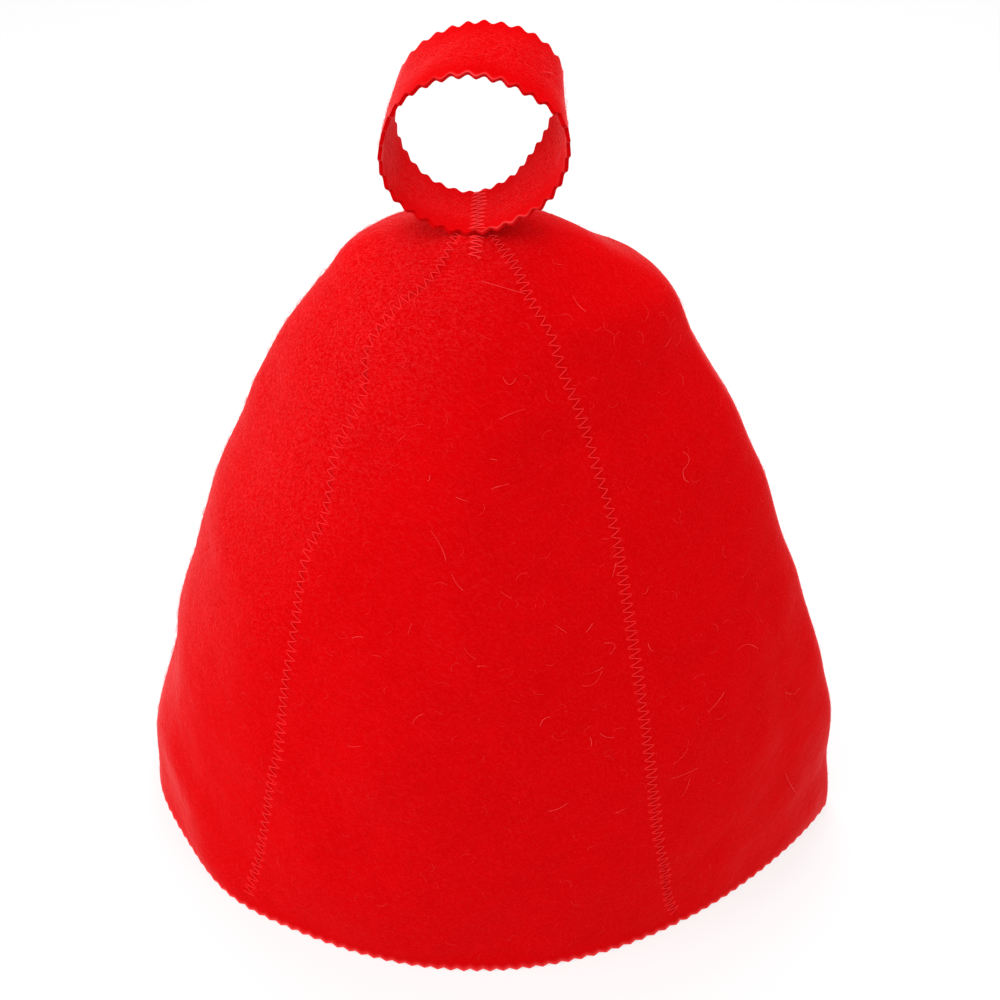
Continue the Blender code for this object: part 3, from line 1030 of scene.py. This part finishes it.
def make_seam_stitches(name, after):
    """The zigzag along the seam between a gore and the next one."""
    points = (gores[name][:, -1] + gores[after][:, 0]) / 2
    points = points + normals[name][:, -1] * groove_depth
    walked = walk(points)
    keep = (walked > seam_start) & (walked < walked[-1] - seam_end)
    side = "left" if "left" in (name, after) else "right"
    out = normals[name][keep, -1]
    return sew(name + "_" + after, side, "seam_thread", points[keep], out)


stitches = [make_seam_stitches(name, after) for name, after in neighbours]
print("stitch faces", [len(piece.data.polygons) for piece in stitches])

# %% [markdown]
# The ends of the loop's strip meet at its bottom, and one close zigzag runs over them,
# through the crown and a little way down the front. The same tree sews it: first along
# the strip's inner face, then on the crown in front of it.

# %% Stitches that hold the loop
hold_turn = 0.0095
hold_points = 60
crown_start = 0.0118
crown_length = 0.0060
crown_x = 0.0042
crown_points = 30
drop_height = 0.012


def ray_tree(piece):
    """What finds where a ray meets a piece of felt."""
    mesh = piece.data
    return BVHTree.FromPolygons([v.co for v in mesh.vertices], [p.vertices for p in mesh.polygons])


def lay_down(points, piece):
    """Drop points on a piece of felt from above, with the felt's normals."""
    tree = ray_tree(piece)
    above = Vector((0.0, 0.0, drop_height))
    hits = [tree.ray_cast(Vector(point) + above, -above) for point in points]
    hits = [hit for hit in hits if hit[0] is not None]
    return np.array([hit[0] for hit in hits]), np.array([hit[1] for hit in hits])


def make_hold_stitches():
    strip = np.linspace(1.0, 0.0, hold_points)
    path, upwards = lay_down(loop_point(hold_turn, strip), felt["loop"])
    forward = np.linspace(crown_start, crown_start + crown_length, crown_points)
    line = [(crown_x, -place, crown_height) for place in forward]
    front, lean = lay_down(line, felt["front"])
    return [
        sew("loop", "loop", "hold_thread", path, upwards),
        sew("crown", "crown", "hold_thread", front, lean),
    ]


hold_stitches = make_hold_stitches()
print("hold stitches", [piece.name for piece in hold_stitches])

# %% [markdown]
# Short wool fibres stand a little off the felt. Each is finer than a pixel, yet together
# they soften the outline and give the surface its fine strokes. A tree scatters arched
# fibres over the outer skins, turned, tilted and sized by chance, with a seed for each
# piece. With thicker, fewer and more curled fibres it also makes the ends that work loose.
# A lower unevenness spreads these more evenly over the hat than the nap.


# %% Nap tree
fibre_sizes = (0.5, 1.4)
fibre_inputs = (
    ("Fibres per square metre", "Float"), ("Unevenness", "Float"), ("Fibre length", "Float"),
    ("Fibre radius", "Float"), ("Steps", "Int"), ("Arch", "Vector"), ("Least turn", "Vector"),
    ("Most turn", "Vector"), ("Material", "Material"), ("Seed", "Int"),
)


def nap_tree():
    steps = Steps("wool_fibres", fibre_inputs)
    given = steps.given
    density = steps.named("nap", "FLOAT") ** given["Unevenness"]
    points = steps.node("GeometryNodeDistributePointsOnFaces", {
        "Mesh": given["Geometry"], "Density": density * given["Fibres per square metre"],
        "Seed": given["Seed"],
    })
    upright = Wire(steps, points.socket.node.outputs["Rotation"])
    turn = steps.node(
        "FunctionNodeRandomValue",
        {0: given["Least turn"], 1: given["Most turn"], 8: given["Seed"]},
        data_type="FLOAT_VECTOR",
    )
    turned = steps.node("FunctionNodeRotateRotation", {
        "Rotation": upright,
        "Rotate By": steps.node("FunctionNodeEulerToRotation", {0: turn}),
    }, rotation_space="LOCAL")
    size = steps.node(
        "FunctionNodeRandomValue", {2: fibre_sizes[0], 3: fibre_sizes[1], 8: given["Seed"]}, 1,
        data_type="FLOAT",
    )
    tip = steps.node("ShaderNodeCombineXYZ", {0: given["Fibre length"]})
    line = steps.node("GeometryNodeCurveQuadraticBezier", {
        "Resolution": given["Steps"], "Middle": given["Arch"], "End": tip,
        "Start": (0.0, 0.0, 0.0),
    })
    placed = steps.node("GeometryNodeInstanceOnPoints", {
        "Points": points, "Instance": steps.swept(line, given["Fibre radius"], 3),
        "Rotation": turned, "Scale": size,
    })
    return steps.finish(placed)


fibre_tree = nap_tree()
print("nap tree inputs", len(fibre_tree.interface.items_tree) - 2)

# %% Nap and loose curls on the pieces
nap_length = 0.0032
tangle_length = 0.0034
fibre_columns = [label for label, _ in fibre_inputs]
nap_fibre = (
    240000.0, 1.0, nap_length, 0.000028, 2, (nap_length * 0.5, 0.0, nap_length * 0.16),
    (-1.2, -0.16, 0.0), (1.2, 0.02, 2 * math.pi), strands["wool_nap"],
)
tangle_fibre = (
    18000.0, 0.35, tangle_length, 0.000042, 7, (tangle_length * 0.5, 0.0, tangle_length * 0.50),
    (1.3, -0.04, 0.0), (1.7, 0.02, 2 * math.pi), strands["tangled_wool"],
)
first_nap_seed = 3
first_tangle_seed = 43


def scatter(kind, names, fibre, first_seed):
    """Fibres scattered over pieces of felt, with a seed for each."""
    return [
        grow(kind + name, felt[name].data.copy(), fibre_tree,
             dict(zip(fibre_columns, (*fibre, first_seed + i))))
        for i, name in enumerate(names)
    ]


nap = scatter("nap_", felt, nap_fibre, first_nap_seed)
tangles = scatter("tangles_", gore_names, tangle_fibre, first_tangle_seed)
print("nap faces", [len(piece.data.polygons) for piece in nap])
print("tangle faces", [len(piece.data.polygons) for piece in tangles])

# %% [markdown]
# A few hairs on the front are long and pale enough to be seen one by one. Each is a bent
# line led by three places in the picture, in its pixels. Rays from the camera through the
# line find the felt, so the hair lies on the cloth.

# %% Hairs that show one by one
hair_columns = ("x0", "y0", "x1", "y1", "x2", "y2")
hair_places = (
    (481, 281, 503, 288, 525, 294),
    (500, 419, 511, 412, 525, 409),
    (503, 377, 509, 391, 516, 378),
    (665, 347, 667, 342, 671, 337),
    (683, 452, 694, 457, 683, 470),
    (683, 470, 681, 480, 689, 482),
    (491, 489, 499, 485, 509, 484),
    (490, 459, 493, 458, 497, 460),
    (431, 531, 442, 543, 446, 560),
    (452, 574, 455, 583, 463, 590),
    (500, 591, 505, 594, 511, 598),
    (555, 625, 561, 628, 567, 633),
    (586, 632, 589, 627, 593, 623),
    (736, 651, 746, 638, 758, 649),
    (583, 674, 593, 673, 603, 667),
    (582, 685, 594, 689, 602, 671),
    (604, 643, 622, 640, 610, 654),
    (464, 647, 469, 655, 476, 659),
    (477, 666, 482, 665, 487, 666),
    (648, 643, 648, 648, 653, 651),
    (785, 692, 794, 697, 799, 688),
    (724, 692, 718, 701, 708, 712),
    (688, 748, 682, 757, 673, 764),
    (670, 779, 684, 774, 697, 768),
    (682, 796, 687, 788, 690, 777),
    (785, 773, 788, 783, 796, 793),
    (600, 733, 605, 738, 614, 737),
    (591, 746, 592, 742, 590, 737),
    (540, 726, 542, 716, 550, 717),
    (413, 724, 415, 715, 423, 714),
    (347, 745, 353, 747, 360, 746),
    (352, 638, 357, 635, 363, 637),
    (372, 655, 377, 654, 381, 657),
    (412, 623, 410, 628, 408, 634),
    (397, 443, 401, 438, 406, 435),
    (412, 427, 417, 423, 423, 424),
    (612, 577, 614, 569, 616, 562),
    (602, 538, 605, 539, 609, 538),
    (573, 296, 577, 307, 586, 312),
    (478, 333, 484, 337, 492, 340),
    (428, 481, 431, 479, 430, 475),
    (456, 497, 462, 499, 469, 502),
    (615, 813, 620, 810, 626, 808),
    (548, 811, 559, 809, 567, 803),
    (539, 73, 545, 72, 553, 74),
    (642, 594, 647, 593, 648, 587),
)
hair_steps = 12
hair_radius = 0.000070
hair_lift = 0.00012


def picture_ray(x, y):
    """Where a pixel of the picture looks from, and which way."""
    turned = np.array(bpy.context.scene.camera.matrix_world.to_3x3())
    half = picture_width / 2
    way = turned @ np.array([(x - half) / focal_pixels, (half - y) / focal_pixels, -1.0])
    return Vector(camera_place), Vector(way).normalized()


def lay_hair(hair, trees):
    """Points of one hair on the felt, lifted a little more in its middle."""
    path = []
    for t in np.linspace(0.0, 1.0, hair_steps):
        start, middle, end = (1 - t) ** 2, 2 * t * (1 - t), t * t
        x = start * hair["x0"] + middle * hair["x1"] + end * hair["x2"]
        y = start * hair["y0"] + middle * hair["y1"] + end * hair["y2"]
        hits = [tree.ray_cast(*picture_ray(x, y)) for tree in trees]
        hits = [hit for hit in hits if hit[0] is not None]
        if hits:
            place, normal, _, _ = min(hits, key=lambda hit: hit[3])
            path.append(np.array(place + normal * hair_lift * (1 + 2 * math.sin(math.pi * t))))
    return np.array(path)


def make_hair_tree():
    steps = Steps("stray_hair", (("Hair radius", "Float"), ("Material", "Material")))
    path = steps.node("GeometryNodeMeshToCurve", {"Mesh": steps.given["Geometry"]})
    return steps.finish(steps.swept(path, steps.given["Hair radius"], 4))


felt_trees = [ray_tree(piece) for piece in felt.values()]
hair_paths = [lay_hair(hair, felt_trees) for hair in named_rows(hair_columns, hair_places)]
hair_paths = [path for path in hair_paths if len(path) > 2]
hairs = grow("stray_hairs", path_mesh("stray_hairs", hair_paths), make_hair_tree(), {
    "Hair radius": hair_radius, "Material": strands["stray_wool"],
})
print("stray hairs", len(hair_paths), "with", len(hairs.data.polygons), "faces")

# %% [markdown]
# A pale floor and soft light finish the set, as in a product picture. Most light comes
# from the sky. The strongest lamps stand low at the left, high at the back and overhead,
# so the felt is brightest at the upper left and darkest low at the right. The floor glows
# a little, so that the hat's own shadow hardly shows on it.

# %% Floor, sky and lamps
floor_side = 8.0
floor_glow = 0.67
floor_colour = (0.3, 0.3, 0.3, 1.0)
sky_light = 0.80
white = (1.0, 1.0, 1.0, 1.0)
lamp_columns = ("name", "x", "y", "z", "size", "power")
lamps = (
    ("top", -0.05, -0.25, 1.00, 0.60, 1.9),
    ("high_left", -0.50, -0.42, 0.66, 0.45, 0.7),
    ("high_right", 0.50, -0.45, 0.62, 0.45, 0.6),
    ("low_left", -0.85, -0.30, 0.25, 0.60, 3.4),
    ("low_right", 0.85, -0.30, 0.25, 0.60, 0.5),
    ("high_back", 0.00, 0.45, 0.85, 0.60, 3.1),
)
lamp_target = (0.0, 0.0, 0.15)


def add_floor():
    mesh = bpy.data.meshes.new("floor")
    h = floor_side / 2
    mesh.from_pydata([(-h, -h, 0), (h, -h, 0), (h, h, 0), (-h, h, 0)], [], [(0, 1, 2, 3)])
    floor = add_object("floor", mesh)
    finish = Finish("pale_floor")
    finish.set(
        Base_Color=floor_colour, Roughness=0.9, Specular_IOR_Level=0.0,
        Emission_Color=white, Emission_Strength=floor_glow,
    )
    mesh.materials.append(finish.material)


def add_lamp(name, x, y, z, size, power):
    """A round lamp that looks at the middle of the hat."""
    lamp = bpy.data.lights.new(name, "AREA")
    lamp.shape = "DISK"
    lamp.size = size
    lamp.energy = power
    back = unit(np.subtract((x, y, z), lamp_target))
    side = unit(np.cross([0.0, 0.0, 1.0], back))
    stand(add_object(name, lamp), side, np.cross(back, side), back, (x, y, z))


def add_sky():
    world = bpy.data.worlds.new("studio")
    bpy.context.scene.world = world
    world.use_nodes = True
    sky = world.node_tree.nodes["Background"]
    sky.inputs["Color"].default_value = white
    sky.inputs["Strength"].default_value = sky_light


add_floor()
add_sky()
for lamp in named_rows(lamp_columns, lamps):
    add_lamp(**lamp)
bpy.context.scene.view_settings.view_transform = "Standard"
print(len(lamps), "lamps")

# %% [markdown]
# Last, the fine felt replaces the imported solids, which are hidden, and every piece rides
# with the one body.

# %% Hand over to the frame
for name in gore_names:
    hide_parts("panel_" + name)
    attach(felt[name], "root")
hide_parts("hanging_loop")
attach(felt["loop"], "root")
for piece in stitches + hold_stitches + nap + tangles + [hairs]:
    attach(piece, "root")
